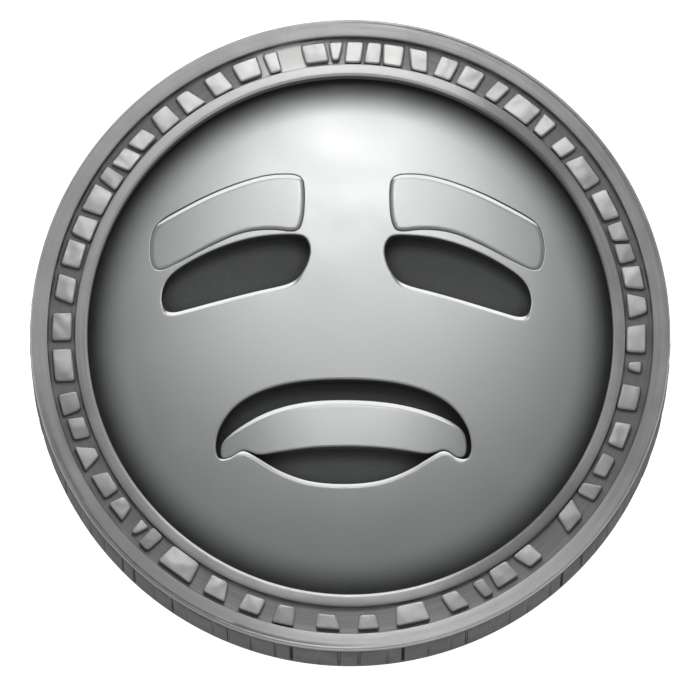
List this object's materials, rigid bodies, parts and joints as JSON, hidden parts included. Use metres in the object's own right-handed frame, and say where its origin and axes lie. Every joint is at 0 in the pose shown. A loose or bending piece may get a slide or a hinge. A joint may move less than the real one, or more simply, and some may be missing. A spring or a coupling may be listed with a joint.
{
  "type": "transit token",
  "caption": "Round metal fare token with a reeded outer ring, a channel of raised blocks and a domed face with brows, eye openings and a mouth.",
  "frame": {"origin": "middle of the underside of the reverse rim, where the lying token touches the floor", "axes": "+Z out of the front of the token, +Y towards the top of the face, +X to the right of the face as it is looked at"},
  "size_m": [0.025, 0.025, 0.0043],
  "materials": {
    "ring_metal": "satin, darker in the reeding",
    "face_metal": "satin",
    "pad_metal": "satin with polished edges",
    "tile_metal": "satin with polished edges",
    "core_metal": "blackened, satin"
  },
  "bodies": {
    "root": {"outer_ring": "ring_metal", "face_plate": "face_metal", "core_plate": "core_metal", "reverse_plate": "face_metal", "left_brow": "pad_metal", "right_brow": "pad_metal", "lip": "pad_metal", "tiles_1_oclock": "tile_metal", "tiles_2_oclock": "tile_metal", "tiles_3_oclock": "tile_metal", "tiles_4_oclock": "tile_metal", "tiles_5_oclock": "tile_metal", "tiles_6_oclock": "tile_metal", "tiles_7_oclock": "tile_metal", "tiles_8_oclock": "tile_metal", "tiles_9_oclock": "tile_metal", "tiles_10_oclock": "tile_metal", "tiles_11_oclock": "tile_metal", "tiles_12_oclock": "tile_metal"}
  },
  "joints": []
}
